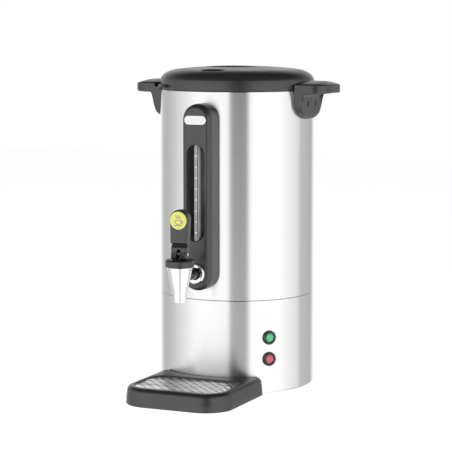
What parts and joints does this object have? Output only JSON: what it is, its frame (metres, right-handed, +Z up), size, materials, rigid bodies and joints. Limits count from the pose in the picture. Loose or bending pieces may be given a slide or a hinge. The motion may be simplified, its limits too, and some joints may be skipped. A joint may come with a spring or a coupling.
{
  "type": "coffee percolator",
  "caption": "Countertop electric coffee percolator with a steel tank, twist lid, side handles, level gauge, lever tap, drip tray, pump tube and filter basket.",
  "frame": {"origin": "on the tank's axis at the level of the counter that the feet and the tray stand on", "axes": "+Z up along the tank axis, -Y towards the user, where the tap is, +X to the right handle as the user sees it"},
  "size_m": [0.3026, 0.3462, 0.4585],
  "materials": {
    "brushed_steel": "brushed round the tank",
    "plain_steel": "plain stainless steel and plated fixings",
    "polished_steel": "polished stainless steel",
    "chrome": "bright chrome plate",
    "satin_black": "satin moulded heat-resistant plastic",
    "gloss_black": "glossy moulded plastic",
    "rubber": "grey-black rubber",
    "silicone": "translucent silicone",
    "clear_tube": "clear glass tube",
    "ceramic": "cream moulded terminal block",
    "yellow_paint": "yellow enamel on a disc",
    "green_lens": "translucent green lens",
    "red_lens": "translucent red lens"
  },
  "bodies": {
    "base": {"base_plate": "satin_black", "base_skirt": "brushed_steel", "boil_dry_cutout": "plain_steel", "foot_1": "rubber", "foot_2": "rubber", "foot_3": "rubber", "foot_4": "rubber", "gauge_housing": "satin_black", "gauge_scale": "satin_black", "gauge_screw": "plain_steel", "green_lamp_bezel": "satin_black", "green_lamp_lens": "green_lens", "handle_left": "satin_black", "handle_nut_left_1": "plain_steel", "handle_nut_left_2": "plain_steel", "handle_nut_right_1": "plain_steel", "handle_nut_right_2": "plain_steel", "handle_right": "satin_black", "handle_screw_left_1": "plain_steel", "handle_screw_left_2": "plain_steel", "handle_screw_right_1": "plain_steel", "handle_screw_right_2": "plain_steel", "heating_element": "plain_steel", "power_inlet": "satin_black", "red_lamp_bezel": "satin_black", "red_lamp_lens": "red_lens", "sight_tube": "clear_tube", "spout": "polished_steel", "switch_frame": "satin_black", "tank_body": "brushed_steel", "tap_bonnet": "satin_black", "tap_escutcheon": "chrome", "tap_gasket": "rubber", "tap_nut": "plain_steel", "tap_shank": "gloss_black", "tap_spring": "plain_steel", "terminal_block": "ceramic", "thermostat": "plain_steel", "tie_screw_1": "plain_steel", "tie_screw_2": "plain_steel", "tie_screw_3": "plain_steel", "tube_seal_lower": "rubber", "tube_seal_upper": "rubber"},
    "valve": {"tap_stem": "plain_steel", "seat_cup": "silicone"},
    "lever": {"tap_lever": "satin_black", "lever_disc": "yellow_paint", "lever_pin": "chrome"},
    "tray": {"drip_tray": "satin_black"},
    "grille": {"drip_grille": "polished_steel"},
    "lid_carrier": {"lid_seal": "silicone"},
    "lid_cap": {"lid": "satin_black"},
    "pump": {"pump_tube": "polished_steel"},
    "washer": {"pump_washer": "plain_steel"},
    "basket": {"filter_basket": "polished_steel"},
    "spreader": {"basket_lid": "polished_steel"},
    "rocker": {"switch_rocker": "gloss_black"}
  },
  "joints": [
    {"name": "lid_lift", "type": "slide", "parent": "base", "child": "lid_carrier", "axis": [0, 0, 1], "range_m": [0, 0.12]},
    {"name": "lid_twist", "type": "hinge", "parent": "lid_carrier", "child": "lid_cap", "pos_m": [0, 0, 0.43], "axis": [0, 0, 1], "range_deg": [-45, 0]},
    {"name": "stem_lift", "type": "slide", "parent": "base", "child": "valve", "axis": [0, 0, 1], "range_m": [0, 0.00181], "deforming": ["tap_spring"]},
    {"name": "lever_tilt", "type": "hinge", "parent": "valve", "child": "lever", "pos_m": [0, -0.191, 0.2075], "axis": [1, 0, 0], "range_deg": [0, 45], "stiffness_Nm_per_rad": 0.4, "springref_deg": -5.73},
    {"name": "tray_slide", "type": "slide", "parent": "base", "child": "tray", "axis": [0, -1, 0], "range_m": [0, 0.15]},
    {"name": "grille_lift", "type": "slide", "parent": "tray", "child": "grille", "axis": [0, 0, 1], "range_m": [0, 0.06]},
    {"name": "pump_lift", "type": "slide", "parent": "base", "child": "pump", "axis": [0, 0, 1], "range_m": [0, 0.015]},
    {"name": "washer_rise", "type": "slide", "parent": "pump", "child": "washer", "axis": [0, 0, 1], "range_m": [0, 0.0025]},
    {"name": "basket_lift", "type": "slide", "parent": "pump", "child": "basket", "axis": [0, 0, 1], "range_m": [0, 0.012]},
    {"name": "spreader_lift", "type": "slide", "parent": "basket", "child": "spreader", "axis": [0, 0, 1], "range_m": [0, 0.012]},
    {"name": "switch_rock", "type": "hinge", "parent": "base", "child": "rocker", "pos_m": [0, 0.1082, 0.0775], "axis": [1, 0, 0], "range_deg": [0, 16]}
  ],
  "couplings": [
    {"joint": "stem_lift", "follows": "lever_tilt", "m_per_rad": 0.0023}
  ]
}
